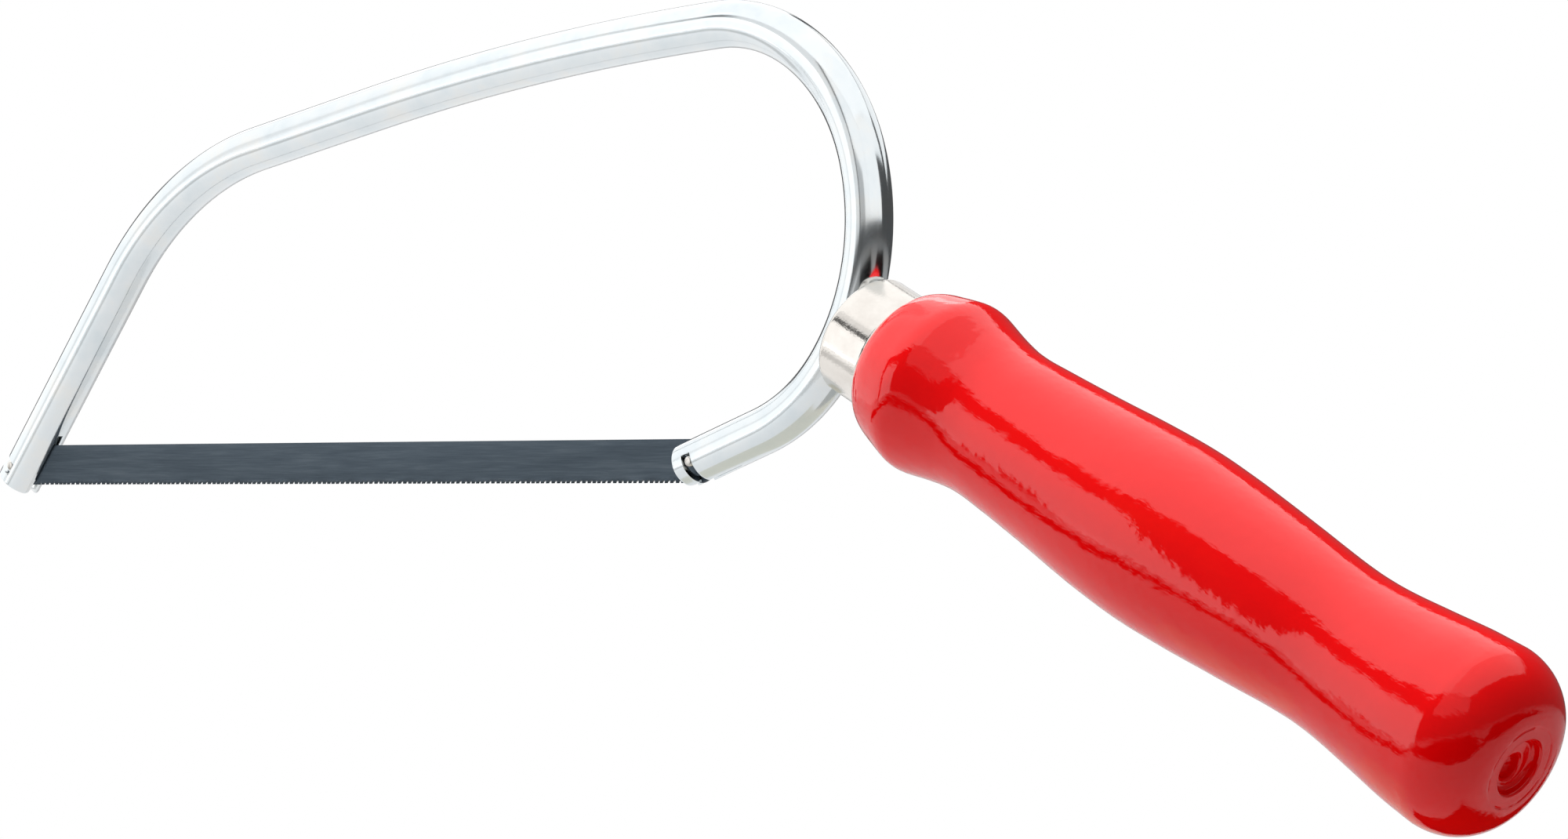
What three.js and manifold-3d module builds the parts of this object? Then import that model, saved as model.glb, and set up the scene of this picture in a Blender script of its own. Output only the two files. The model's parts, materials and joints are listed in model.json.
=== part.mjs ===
// Small hacksaw with a sprung tubular bow, a pin-ended blade and a turned handle.
//
// Everything is drawn in millimetres about the front blade pin: +X runs along the blade to the
// handle, +Z points up across the blade in the plane of the bow, and Y is the thickness. At the
// end the whole saw is moved so that the centre of its bounding box is the origin.

import * as THREE from "three";
import { mergeVertices } from "three/addons/utils/BufferGeometryUtils.js";
import Module from "manifold-3d";

const wasm = await Module();
wasm.setup();

// ---------------------------------------------------------------- driving dimensions

const GAP = 0.3; // clearance between touching pieces
const ARC_SEGMENTS = 5; // of a plate's corner
const ELLIPSE_STEPS = 7; // of a turned corner

// Blade
const PIN_SPACING = 151.5;
const BLADE_HEIGHT = 6.4;
const BLADE_THICKNESS = 0.65;
const BLADE_BEYOND_PIN = 1.7; // blade end past each pin centre
const BLADE_CORNER = 1.9; // corner radius at the blade's ends
const TOOTH_PITCH = 1.058; // 24 teeth to the inch
const TOOTH_DEPTH = 0.45;
const TOOTH_LAND = 0.12; // flat at a tooth's tip
const TOOTH_BACK = 0.85; // share of the pitch that a tooth's sloping back takes
const TOOTH_MARGIN = 2.6; // plain edge between each pin and the first tooth

// Blade pins
const PIN_RADIUS = 0.8;
const PIN_LENGTH = 6.4;
const PIN_SIDES = 16;

// Bow tube, and its line as straight runs and bends from the front end round to the rear end
const TUBE_RADIUS = 3.43;
const TUBE_WALL = 0.95;
const TUBE_SIDES = 28;
const BORE_SIDES = 16;
const TUBE_STEPS = 60;
const BOW_START = { x: -1.2, z: -2.6 };
const BOW_HEADING = 50.8; // degrees above +X
const BOW_LINE = [
  { run: 42.4, turn: 0 }, // front leg
  { run: 37.9, turn: -40.1 }, // front bend
  { run: 27.0, turn: 0 },
  { run: 72.0, turn: -7.6 }, // back of the bow, almost straight
  { run: 37.6, turn: -79.7 }, // top bend above the handle
  { run: 30.0, turn: -51.5 }, // past the ferrule
  { run: 16.9, turn: -33.2 }, // lower bend
  { run: 15.5, turn: 0 }, // rear leg
];

// Slits and notches in the two tube ends
const SLIT_WIDTH = 1.2;
const FRONT_SLIT = { inner: 12.1, outer: 8.5 }; // length along each wall of the bow
const REAR_SLIT = { inner: 6.0, outer: 10.3 };
const NOTCH_WIDTH = 2.2; // pin and its clearance
const NOTCH_FLOOR = PIN_RADIUS + GAP; // past the pin centre

// Handle and ferrule, along the handle's axis from the centre of the tube
const HANDLE_ANGLE = 27.5; // degrees below the blade
const HANDLE_CROSSING = { x: 180.43, z: 19.0 }; // where the handle's axis meets the tube's line
const FERRULE_RADIUS = 8.9;
const FERRULE_WALL = 0.8;
const FERRULE_FRONT = 2.8;
const FERRULE_END_WALL = 1.2;
const FERRULE_EDGE = 0.5; // rounding of its front edge
const NOSE_FACE = 11.0;
const NOSE = [
  [11.0, 9.3],
  [11.25, 10.0],
  [11.7, 10.5],
  [13.3, 11.55], // corner between the nose and the bulb
  [13.9, 11.76],
  [19.1, 13.18],
];
const GRIP = [
  [19.7, 13.28], // crease behind the bulb
  [20.4, 13.2],
  [25.0, 11.93],
  [27.5, 11.42],
  [31.5, 11.14], // neck
  [36.0, 11.34],
  [44.0, 11.9],
  [56.0, 12.88],
  [64.0, 13.18], // palm swell
  [72.0, 12.87],
  [84.0, 12.03],
  [92.0, 11.4],
  [96.0, 11.28], // waist
  [100.0, 11.48],
  [108.0, 12.37],
  [114.0, 13.15],
];
const GRIP_STEPS = 30;
const BUTT = { at: 119.0, radius: 13.5 };
const BUTT_FACE = 127.4;
const BUTT_FLAT_RADIUS = 6.0;
const BUTT_HOLE = { radius: 3.9, depth: 3.6, draft: 0.5, rim: 0.3 }; // narrows by its draft
const BUTT_PILOT = { radius: 1.5, depth: 9.0 };
const TURNED_SIDES = 36;

// Screw from inside the tube into the handle
const SCREW = { radius: 1.5, end: 40.0, point: 4.0 };
const SCREW_HEAD = { radius: 1.9, front: -0.6, back: 1.3 };
const SCREW_ACCESS_RADIUS = 2.3; // hole in the inner wall of the tube

// ---------------------------------------------------------------- materials

const zincPlate = new THREE.MeshStandardMaterial({
  color: 0xdfe4e8,
  roughness: 0.24,
  metalness: 1.0,
});
const bluedSteel = new THREE.MeshStandardMaterial({
  color: 0x3c4853,
  roughness: 0.45,
  metalness: 0.85,
});
const pinSteel = new THREE.MeshStandardMaterial({
  color: 0xb9b2a6,
  roughness: 0.35,
  metalness: 1.0,
});
const nickelPlate = new THREE.MeshStandardMaterial({
  color: 0xe4ddd2,
  roughness: 0.3,
  metalness: 1.0,
});
const redLacquer = new THREE.MeshStandardMaterial({
  color: 0xc8100f,
  roughness: 0.08,
  metalness: 0.0,
});
const screwSteel = new THREE.MeshStandardMaterial({
  color: 0xa8a9a6,
  roughness: 0.4,
  metalness: 1.0,
});

// ---------------------------------------------------------------- solids

// A closed geometry as a manifold-3d solid, ready to join or cut.
function solid(geometry) {
  const bare = geometry.clone();
  bare.deleteAttribute("normal");
  bare.deleteAttribute("uv");
  const merged = mergeVertices(bare, 1e-4);
  return new wasm.Manifold(
    new wasm.Mesh({
      numProp: 3,
      vertProperties: new Float32Array(merged.attributes.position.array),
      triVerts: new Uint32Array(merged.index.array),
    }),
  );
}

// A manifold-3d solid as a three.js geometry.
function geometryOf(body) {
  const mesh = body.getMesh();
  const geometry = new THREE.BufferGeometry();
  geometry.setAttribute("position", new THREE.BufferAttribute(mesh.vertProperties, 3));
  geometry.setIndex(new THREE.BufferAttribute(mesh.triVerts, 1));
  geometry.computeVertexNormals();
  return geometry;
}

function namedMesh(name, geometry, material) {
  const mesh = new THREE.Mesh(geometry, material);
  mesh.name = name;
  return mesh;
}

// An outline in X and Z given a thickness along Y, centred on y = 0.
function plate(shape, thickness) {
  const geometry = new THREE.ExtrudeGeometry(shape, {
    depth: thickness,
    bevelEnabled: false,
    curveSegments: ARC_SEGMENTS,
  });
  geometry.rotateX(Math.PI / 2);
  geometry.translate(0, thickness / 2, 0);
  return geometry;
}

// A profile of [distance along the axis, radius] points turned about the handle's axis.
function turned(profile) {
  const points = profile.map(([along, radius]) => new THREE.Vector2(radius, along));
  const geometry = new THREE.LatheGeometry(points, TURNED_SIDES);
  return geometry.applyMatrix4(handleFrame);
}

// ---------------------------------------------------------------- lines and frames

// A line in the XZ plane made of straight runs and bends, each following on from the last.
class BentLine extends THREE.Curve {
  constructor(start, headingDegrees, stretches) {
    super();
    let { x, z } = start;
    let heading = THREE.MathUtils.degToRad(headingDegrees);
    this.length = 0;
    this.stretches = stretches.map(({ run, turn }) => {
      const stretch = { x, z, heading, run, turn: THREE.MathUtils.degToRad(turn), from: this.length };
      const end = BentLine.along(stretch, run);
      x = end.x;
      z = end.z;
      heading = end.heading;
      this.length += run;
      return stretch;
    });
  }

  // The place and heading at a distance along one stretch.
  static along({ x, z, heading, run, turn }, distance) {
    if (turn === 0) {
      return {
        x: x + distance * Math.cos(heading),
        z: z + distance * Math.sin(heading),
        heading,
      };
    }
    const radius = run / turn;
    const turned = heading + distance / radius;
    return {
      x: x + radius * (Math.sin(turned) - Math.sin(heading)),
      z: z - radius * (Math.cos(turned) - Math.cos(heading)),
      heading: turned,
    };
  }

  at(distance) {
    const last = this.stretches.findLast((stretch) => stretch.from <= distance);
    return BentLine.along(last ?? this.stretches[0], distance - (last?.from ?? 0));
  }

  getPoint(t, target = new THREE.Vector3()) {
    const { x, z } = this.at(t * this.length);
    return target.set(x, 0, z);
  }
}

// A frame whose X axis has the given heading in the XZ plane; its Z axis is to the left of it.
function frameAt({ x, z, heading }) {
  return new THREE.Matrix4()
    .makeTranslation(x, 0, z)
    .multiply(new THREE.Matrix4().makeRotationY(-heading));
}

const bowLine = new BentLine(BOW_START, BOW_HEADING, BOW_LINE);
const frontEnd = bowLine.at(0);
const rearTip = bowLine.at(bowLine.length);
const rearEnd = { ...rearTip, heading: rearTip.heading + Math.PI }; // looks back into the tube

// The handle's axis as the Y axis that a LatheGeometry turns about.
const handleFrame = frameAt({
  ...HANDLE_CROSSING,
  heading: THREE.MathUtils.degToRad(-HANDLE_ANGLE),
}).multiply(new THREE.Matrix4().makeRotationZ(-Math.PI / 2));

// ---------------------------------------------------------------- bow tube

function circlePoints(radius, sides) {
  return Array.from({ length: sides }, (_, i) => {
    const angle = (i / sides) * 2 * Math.PI;
    return new THREE.Vector2(radius * Math.cos(angle), radius * Math.sin(angle));
  });
}

// A round bar or tube swept along the bow's line.
function swept(radius, boreRadius = 0) {
  const section = new THREE.Shape(circlePoints(radius, TUBE_SIDES));
  if (boreRadius > 0) {
    section.holes.push(new THREE.Path(circlePoints(boreRadius, BORE_SIDES)));
  }
  return new THREE.ExtrudeGeometry(section, {
    steps: TUBE_STEPS,
    extrudePath: bowLine,
  });
}

// The slit for the blade: each wall is cut back by its own length from the tube's end.
// `outerSide` is +1 where the outside of the bow is to the left of the end's heading.
function slitCutter(end, slit, outerSide) {
  const reach = TUBE_RADIUS + 1;
  const slope = (slit.outer - slit.inner) / (2 * TUBE_RADIUS);
  const middle = (slit.outer + slit.inner) / 2;
  const shape = new THREE.Shape([
    new THREE.Vector2(-1, -reach),
    new THREE.Vector2(middle - slope * reach * outerSide, -reach),
    new THREE.Vector2(middle + slope * reach * outerSide, reach),
    new THREE.Vector2(-1, reach),
  ]);
  return solid(plate(shape, SLIT_WIDTH).applyMatrix4(frameAt(end)));
}

// The notch that a blade pin drops into from the outside of the bow.
function notchCutter(end, pin, outerSide) {
  const local = new THREE.Vector3(pin.x, 0, pin.z).applyMatrix4(frameAt(end).invert());
  const floor = local.z * outerSide - NOTCH_FLOOR;
  const depth = TUBE_RADIUS + 1 - floor;
  const box = new THREE.BoxGeometry(NOTCH_WIDTH, 2 * TUBE_RADIUS + 2, depth);
  box.translate(local.x, 0, outerSide * (floor + depth / 2));
  return solid(box.applyMatrix4(frameAt(end)));
}

function makeBowTube() {
  const screwHole = solid(
    turned([
      [0, 0],
      [0, SCREW.radius + GAP],
      [TUBE_RADIUS + 2, SCREW.radius + GAP],
      [TUBE_RADIUS + 2, 0],
    ]),
  );
  const accessHole = solid(
    turned([
      [-TUBE_RADIUS - 2, 0],
      [-TUBE_RADIUS - 2, SCREW_ACCESS_RADIUS],
      [0, SCREW_ACCESS_RADIUS],
      [0, 0],
    ]),
  );
  const tube = solid(swept(TUBE_RADIUS, TUBE_RADIUS - TUBE_WALL))
    .subtract(slitCutter(frontEnd, FRONT_SLIT, 1))
    .subtract(slitCutter(rearEnd, REAR_SLIT, -1))
    .subtract(notchCutter(frontEnd, { x: 0, z: 0 }, 1))
    .subtract(notchCutter(rearEnd, { x: PIN_SPACING, z: 0 }, -1))
    .subtract(screwHole)
    .subtract(accessHole);
  return namedMesh("bow_tube", geometryOf(tube), zincPlate);
}

// ---------------------------------------------------------------- blade and its pins

// The blade's outline, with the teeth leaning away from the handle along its lower edge.
function bladeOutline() {
  const left = -BLADE_BEYOND_PIN;
  const right = PIN_SPACING + BLADE_BEYOND_PIN;
  const top = BLADE_HEIGHT / 2;
  const bottom = -BLADE_HEIGHT / 2;
  const gullet = bottom + TOOTH_DEPTH;
  const toothed = PIN_SPACING - 2 * TOOTH_MARGIN;
  const teeth = Math.floor(toothed / TOOTH_PITCH);
  const outline = new THREE.Shape();
  outline.moveTo(left + BLADE_CORNER, bottom);
  outline.lineTo(TOOTH_MARGIN, bottom);
  for (let i = 0; i < teeth; i++) {
    const tooth = TOOTH_MARGIN + i * TOOTH_PITCH;
    outline.lineTo(tooth + TOOTH_PITCH * TOOTH_BACK, gullet);
    outline.lineTo(tooth + TOOTH_PITCH, bottom);
    outline.lineTo(tooth + TOOTH_PITCH + TOOTH_LAND, bottom);
  }
  outline.lineTo(right - BLADE_CORNER, bottom);
  outline.absarc(right - BLADE_CORNER, bottom + BLADE_CORNER, BLADE_CORNER, -Math.PI / 2, 0, false);
  outline.absarc(right - BLADE_CORNER, top - BLADE_CORNER, BLADE_CORNER, 0, Math.PI / 2, false);
  outline.absarc(left + BLADE_CORNER, top - BLADE_CORNER, BLADE_CORNER, Math.PI / 2, Math.PI, false);
  outline.absarc(left + BLADE_CORNER, bottom + BLADE_CORNER, BLADE_CORNER, Math.PI, 1.5 * Math.PI, false);
  for (const x of [0, PIN_SPACING]) {
    outline.holes.push(new THREE.Path().absarc(x, 0, PIN_RADIUS + GAP, 0, 2 * Math.PI, true));
  }
  return outline;
}

function makeBlade() {
  return namedMesh("saw_blade", plate(bladeOutline(), BLADE_THICKNESS), bluedSteel);
}

function makePin(name, x) {
  const geometry = new THREE.CylinderGeometry(PIN_RADIUS, PIN_RADIUS, PIN_LENGTH, PIN_SIDES);
  const pin = namedMesh(name, geometry, pinSteel);
  pin.position.set(x, 0, 0);
  return pin;
}

// ---------------------------------------------------------------- handle, ferrule and screw

// Points along a quarter of an ellipse, from its flat end face out to its full radius or back.
function quarterEllipse(centreAlong, centreRadius, along, radius, outward) {
  return Array.from({ length: ELLIPSE_STEPS + 1 }, (_, i) => {
    const step = outward ? i : ELLIPSE_STEPS - i;
    const angle = (step / ELLIPSE_STEPS) * (Math.PI / 2);
    return [centreAlong + along * Math.cos(angle), centreRadius + radius * Math.sin(angle)];
  });
}

function makeHandle() {
  const tenonRadius = FERRULE_RADIUS - FERRULE_WALL - GAP;
  const tenonFront = FERRULE_FRONT + FERRULE_END_WALL + GAP;
  const pilotRadius = SCREW.radius + GAP;
  const pilotEnd = SCREW.end + GAP;
  const butt = quarterEllipse(
    BUTT.at,
    BUTT_FLAT_RADIUS,
    BUTT_FACE - BUTT.at,
    BUTT.radius - BUTT_FLAT_RADIUS,
    false,
  );
  const grip = new THREE.SplineCurve(
    [...GRIP, [BUTT.at, BUTT.radius]].map(([along, radius]) => new THREE.Vector2(along, radius)),
  );
  const gripPoints = grip.getSpacedPoints(GRIP_STEPS).map((point) => [point.x, point.y]);
  const profile = [
    [pilotEnd, 0],
    [pilotEnd, pilotRadius],
    [tenonFront, pilotRadius],
    [tenonFront, tenonRadius],
    [NOSE_FACE, tenonRadius],
    ...NOSE,
    ...gripPoints.slice(0, -1),
    ...butt,
    [BUTT_FACE, BUTT_HOLE.radius + BUTT_HOLE.rim],
    [BUTT_FACE - BUTT_HOLE.rim, BUTT_HOLE.radius],
    [BUTT_FACE - BUTT_HOLE.depth, BUTT_HOLE.radius - BUTT_HOLE.draft],
    [BUTT_FACE - BUTT_HOLE.depth, BUTT_PILOT.radius],
    [BUTT_FACE - BUTT_PILOT.depth, BUTT_PILOT.radius],
    [BUTT_FACE - BUTT_PILOT.depth, 0],
  ];
  return namedMesh("handle", turned(profile), redLacquer);
}

// A drawn cup whose front is hollowed where the tube lies against it.
function makeFerrule() {
  const back = NOSE_FACE - GAP;
  const boreRadius = FERRULE_RADIUS - FERRULE_WALL;
  const holeRadius = SCREW.radius + GAP;
  const edge = quarterEllipse(
    FERRULE_FRONT + FERRULE_EDGE,
    FERRULE_RADIUS - FERRULE_EDGE,
    -FERRULE_EDGE,
    FERRULE_EDGE,
    true,
  );
  const cup = turned([
    [FERRULE_FRONT, holeRadius],
    ...edge,
    [back, FERRULE_RADIUS],
    [back, boreRadius],
    [FERRULE_FRONT + FERRULE_END_WALL, boreRadius],
    [FERRULE_FRONT + FERRULE_END_WALL, holeRadius],
    [FERRULE_FRONT, holeRadius],
  ]);
  const saddled = solid(cup).subtract(solid(swept(TUBE_RADIUS + GAP)));
  return namedMesh("ferrule", geometryOf(saddled), nickelPlate);
}

function makeHandleScrew() {
  const profile = [
    [SCREW_HEAD.front, 0],
    [SCREW_HEAD.front, SCREW_HEAD.radius],
    [SCREW_HEAD.back, SCREW_HEAD.radius],
    [SCREW_HEAD.back, SCREW.radius],
    [SCREW.end - SCREW.point, SCREW.radius],
    [SCREW.end, 0],
  ];
  return namedMesh("handle_screw", turned(profile), screwSteel);
}

// ---------------------------------------------------------------- the saw

const bladeGroup = new THREE.Group();
bladeGroup.add(
  makeBlade(),
  makePin("front_blade_pin", 0),
  makePin("rear_blade_pin", PIN_SPACING),
);

const frameGroup = new THREE.Group();
frameGroup.add(makeBowTube(), makeFerrule(), makeHandle(), makeHandleScrew());

const saw = new THREE.Group();
saw.add(frameGroup, bladeGroup);
const centre = new THREE.Box3().setFromObject(saw, true).getCenter(new THREE.Vector3());
saw.children.forEach((group) => group.position.copy(centre).negate());

export default saw;
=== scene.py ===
"""The looks of a small hacksaw: zinc-plated tube bow, blued blade, nickel ferrule, red lacquered handle.

Pieces are drawn in millimetres in the saw's own frame, the one the CAD source uses: the front
blade pin is the origin, +X runs along the blade to the handle, +Z points up across it and Y is
the thickness. saw_points() takes them to the row frame, in metres.
"""

import json
import math

import bmesh
import bpy
import numpy as np
from mathutils import Matrix, Quaternion, Vector, noise

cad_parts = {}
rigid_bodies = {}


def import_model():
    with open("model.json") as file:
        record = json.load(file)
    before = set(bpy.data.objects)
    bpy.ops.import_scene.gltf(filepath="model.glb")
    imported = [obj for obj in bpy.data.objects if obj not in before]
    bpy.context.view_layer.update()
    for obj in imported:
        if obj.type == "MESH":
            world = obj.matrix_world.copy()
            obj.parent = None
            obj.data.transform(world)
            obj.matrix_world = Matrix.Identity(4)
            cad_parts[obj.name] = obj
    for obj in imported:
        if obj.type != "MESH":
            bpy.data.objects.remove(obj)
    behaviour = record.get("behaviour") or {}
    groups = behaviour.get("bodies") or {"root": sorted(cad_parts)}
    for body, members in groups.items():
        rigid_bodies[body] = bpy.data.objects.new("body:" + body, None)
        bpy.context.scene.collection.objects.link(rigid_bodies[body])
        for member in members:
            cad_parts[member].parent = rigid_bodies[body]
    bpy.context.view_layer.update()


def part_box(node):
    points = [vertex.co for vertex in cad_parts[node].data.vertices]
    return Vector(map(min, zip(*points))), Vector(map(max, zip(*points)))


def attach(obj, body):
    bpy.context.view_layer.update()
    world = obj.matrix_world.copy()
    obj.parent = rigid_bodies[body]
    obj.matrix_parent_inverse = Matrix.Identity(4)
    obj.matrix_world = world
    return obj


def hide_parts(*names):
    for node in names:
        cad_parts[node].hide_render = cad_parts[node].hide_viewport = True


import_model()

MM = 0.001

# ---------------------------------------------------------------- driving dimensions, in mm

GAP = 0.3  # between touching pieces

BLADE_BEYOND_PIN = 1.7
BLADE_CORNER = 1.9
TOOTH_PITCH = 1.058
TOOTH_DEPTH = 0.5
TOOTH_LAND = 0.1
TOOTH_FACE = 0.12  # how far a tooth's cutting face leans back over its gullet
TOOTH_MARGIN = 2.6
TOOTH_SET = 0.11  # sideways lean of the toothed edge
SET_WAVE = 6.35  # length of one wave of the set
PIN_ROUNDING = 0.35
PIN_DOME = 0.03
BLADE_EDGE_ROUNDING = 0.05

TUBE_WALL = 0.95
TUBE_COLUMNS = 108
TUBE_STEP = 0.8
TUBE_FINE_STEP = 0.22
BOW_START = (-1.2, -2.6)
BOW_HEADING = 50.8  # degrees above +X
BOW_LINE = [  # (run, turn in degrees) from the front end round to the rear end
    (42.4, 0),
    (37.9, -40.1),
    (27.0, 0),
    (72.0, -7.6),
    (37.6, -79.7),
    (30.0, -51.5),
    (16.9, -33.2),
    (15.5, 0),
]
SLIT_WIDTH = 1.05
FRONT_SLIT = {"inner": 12.1, "outer": 8.5}  # length along each wall of the bow
REAR_SLIT = {"inner": 6.0, "outer": 10.3}
FRONT_NOTCH = {"short": 1.35, "long": 0.86}  # from the pin towards the tube's end and away from it
REAR_NOTCH = {"short": 0.92, "long": 0.86}
NOTCH_FLOOR = {"front": 0.86, "rear": 1.1}  # past the pin centre
LOBE_RADIUS = 0.9  # rounding of the end's corners beside the slit
PRONG_SPREAD = 0.22  # how far the front end is bent out past its notch
REAR_PINCH = 0.3  # how far the rear ring is pressed in from below
EDGE_ROUNDING = 0.11

HANDLE_ANGLE = 27.5  # degrees below the blade
HANDLE_CROSSING = (180.43, 19.0)
FERRULE_RADIUS = 8.9
FERRULE_WALL = 0.8
FERRULE_FRONT = 2.8
FERRULE_END_WALL = 1.2
FERRULE_EDGE = 0.75
FERRULE_COLUMNS = 256
NOSE_FACE = 11.0
NOSE = [(11.0, 9.35), (11.25, 10.0), (11.7, 10.5)]
NOSE_CORNER = (13.35, 11.6)
CREASE = (19.7, 13.3)  # where the bulb behind the nose ends in a soft corner
GRIP = [
    (25.0, 11.93),
    (27.5, 11.42),
    (31.5, 11.14),
    (36.0, 11.34),
    (44.0, 11.88),
    (56.0, 12.86),
    (64.0, 13.16),
    (72.0, 12.87),
    (84.0, 12.02),
    (92.0, 11.4),
    (96.0, 11.28),
    (100.0, 11.46),
    (108.0, 12.37),
    (114.0, 13.13),
]
BUTT = (119.0, 13.48)
BUTT_FACE = 127.4
BUTT_FLAT_RADIUS = 6.0
BUTT_HOLE_RADIUS = 3.95
BUTT_HOLE_RIM = 0.45
BUTT_LEDGE_DEPTH = 1.5
BUTT_PILOT_RADIUS = 1.8
BUTT_PILOT_DEPTH = 3.6
BUTT_PILOT_OFFSET = (0.3, -0.7)  # the pilot hole is off the handle's axis
BUTT_RING_RADIUS = 5.85  # of the crack in the lacquer on the flat ring
BUTT_RING_WIDTH = 0.10
BUTT_RING_DEPTH = 0.10
BUTT_FLAT_ROWS = 24
HANDLE_COLUMNS = 288
HANDLE_WAVE = 0.055  # height of the lacquer's long waves
HANDLE_RIPPLE = 0.022  # and of its short ones
CORNER_SOFTENING = 26  # passes over the corners of the nose and the bulb
SCREW_RADIUS = 1.5  # over its thread
SCREW_END = 40.0
SCREW_POINT = 4.0
SCREW_THREAD = 0.9  # pitch
SCREW_THREAD_START = (8, 12)  # where the thread begins and where it is full
SCREW_THREAD_DEPTH = 0.15  # of its ridges above and below the shank
SCREW_SHANK_RADIUS = 1.35
SCREW_SLOT_WIDTH = 0.16  # from the slot's middle to its side
SCREW_SLOT_REACH = 1.1
SCREW_HEAD_RADIUS = 1.9
SCREW_HEAD = (-0.6, 1.3)  # its front and its underside, along the handle's axis
SCREW_ACCESS_RADIUS = 2.3
SCREW_COLUMNS = 48

# ---------------------------------------------------------------- places from the frame


def box_centre(node):
    low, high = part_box(node)
    return (low + high) / 2


FRONT_PIN = box_centre("front_blade_pin")
PIN_SPACING = (box_centre("rear_blade_pin") - FRONT_PIN).length / MM
pin_low, pin_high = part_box("front_blade_pin")
PIN_LENGTH = (pin_high.y - pin_low.y) / MM
PIN_RADIUS = (pin_high.z - pin_low.z) / MM / 2
blade_low, blade_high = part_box("saw_blade")
BLADE_HEIGHT = (blade_high.z - blade_low.z) / MM
BLADE_THICKNESS = (blade_high.y - blade_low.y) / MM
tube_low, tube_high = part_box("bow_tube")
TUBE_RADIUS = (tube_high.y - tube_low.y) / MM / 2


def saw_points(points):
    """Points in the saw's frame, in mm, as points in the row frame, in metres."""
    return np.asarray(points, float) * MM + np.array(FRONT_PIN)


# ---------------------------------------------------------------- mesh tools


def add_piece(name, points, faces, body, node, material, grain=None):
    """A smooth mesh in the row frame that rides on a body and stands for a CAD node.

    grain, where given, is one vector for each point: where it lies along and across the stock.
    """
    mesh = bpy.data.meshes.new(name)
    mesh.from_pydata(saw_points(points).tolist(), [], faces)
    if grain is not None:
        attribute = mesh.attributes.new("grain", "FLOAT_VECTOR", "POINT")
        attribute.data.foreach_set("vector", np.asarray(grain, np.float32).ravel())
    mesh.validate()
    work = bmesh.new()
    work.from_mesh(mesh)
    loose = [v for v in work.verts if not v.link_faces]
    bmesh.ops.delete(work, geom=loose, context="VERTS")
    bmesh.ops.holes_fill(work, edges=work.edges, sides=0)
    bmesh.ops.recalc_face_normals(work, faces=work.faces)
    work.to_mesh(mesh)
    work.free()
    mesh.shade_smooth()
    mesh.materials.append(material)
    piece = bpy.data.objects.new(name, mesh)
    bpy.context.scene.collection.objects.link(piece)
    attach(piece, body)
    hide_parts(node)
    return piece


def bevel_edges(piece, width, segments=3, angle=40):
    """Rounds the piece's sharp edges and keeps its broad faces' shading."""
    bevel = piece.modifiers.new("rounded_edges", "BEVEL")
    bevel.width = width * MM
    bevel.segments = segments
    bevel.limit_method = "ANGLE"
    bevel.angle_limit = math.radians(angle)


def lathe_grid(profile, columns):
    """Distance along the axis, radius and angle of every point of a turned piece, ring by ring."""
    profile = np.array(profile)
    around = np.linspace(0, 2 * math.pi, columns, endpoint=False)
    along = np.repeat(profile[:, 0], columns)
    radius = np.repeat(profile[:, 1], columns)
    return along, radius, np.tile(around, len(profile))


def lathe_faces(rows, columns, closed_profile=False):
    """Quads of a grid of rows that closes round its columns."""
    faces = []
    last = rows if closed_profile else rows - 1
    for i in range(last):
        a, b = i * columns, ((i + 1) % rows) * columns
        for j in range(columns):
            k = (j + 1) % columns
            faces.append((a + j, a + k, b + k, b + j))
    return faces


def smooth_step(low, high, value):
    t = np.clip((np.asarray(value, float) - low) / (high - low), 0, 1)
    return t * t * (3 - 2 * t)


def soft_noise(points, size, seed=0):
    """Smooth noise from about -1 to 1 at each point, with features of that size."""
    shift = Vector((seed * 17.3, seed * 5.1, seed * 9.7))
    return np.array([noise.noise(Vector(p) / size + shift) for p in points])


# ---------------------------------------------------------------- the bow's line


class BentLine:
    """A line in the XZ plane of straight runs and bends, each following on from the last."""

    def __init__(self, start, heading, stretches):
        place = (*start, math.radians(heading))
        self.stretches = []
        self.length = 0
        for run, turn in stretches:
            stretch = (self.length, place, run, math.radians(turn))
            self.stretches.append(stretch)
            place = self.along(stretch, run)
            self.length += run

    @staticmethod
    def along(stretch, distance):
        _, (x, z, heading), run, turn = stretch
        if turn == 0:
            return x + distance * math.cos(heading), z + distance * math.sin(heading), heading
        radius = run / turn
        turned = heading + distance / radius
        return (
            x + radius * (math.sin(turned) - math.sin(heading)),
            z - radius * (math.cos(turned) - math.cos(heading)),
            turned,
        )

    def at(self, distance):
        """(x, z, heading) at a distance along the line."""
        stretch = [s for s in self.stretches if s[0] <= max(distance, 0)][-1]
        return self.along(stretch, distance - stretch[0])

    def nearest(self, x, z):
        """(distance along the line, distance to its left) of a point in the plane."""
        steps = np.linspace(0, self.length, int(self.length / 0.05))
        places = [self.at(s) for s in steps]
        best = min(range(len(steps)), key=lambda i: math.hypot(places[i][0] - x, places[i][1] - z))
        px, pz, heading = places[best]
        left = -math.sin(heading) * (x - px) + math.cos(heading) * (z - pz)
        return steps[best], left


bow_line = BentLine(BOW_START, BOW_HEADING, BOW_LINE)
FRONT_PIN_ALONG, FRONT_PIN_LEFT = bow_line.nearest(0, 0)
REAR_PIN_ALONG, REAR_PIN_LEFT = bow_line.nearest(PIN_SPACING, 0)
CROSSING_ALONG, _ = bow_line.nearest(*HANDLE_CROSSING)


def along_handle(along, up, side):
    """Points in the saw's frame from distances along the handle's axis, up across it and sideways."""
    slant = math.radians(HANDLE_ANGLE)
    x = HANDLE_CROSSING[0] + along * math.cos(slant) + up * math.sin(slant)
    z = HANDLE_CROSSING[1] - along * math.sin(slant) + up * math.cos(slant)
    return np.stack([x, side, z], axis=-1)


# ---------------------------------------------------------------- materials


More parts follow.
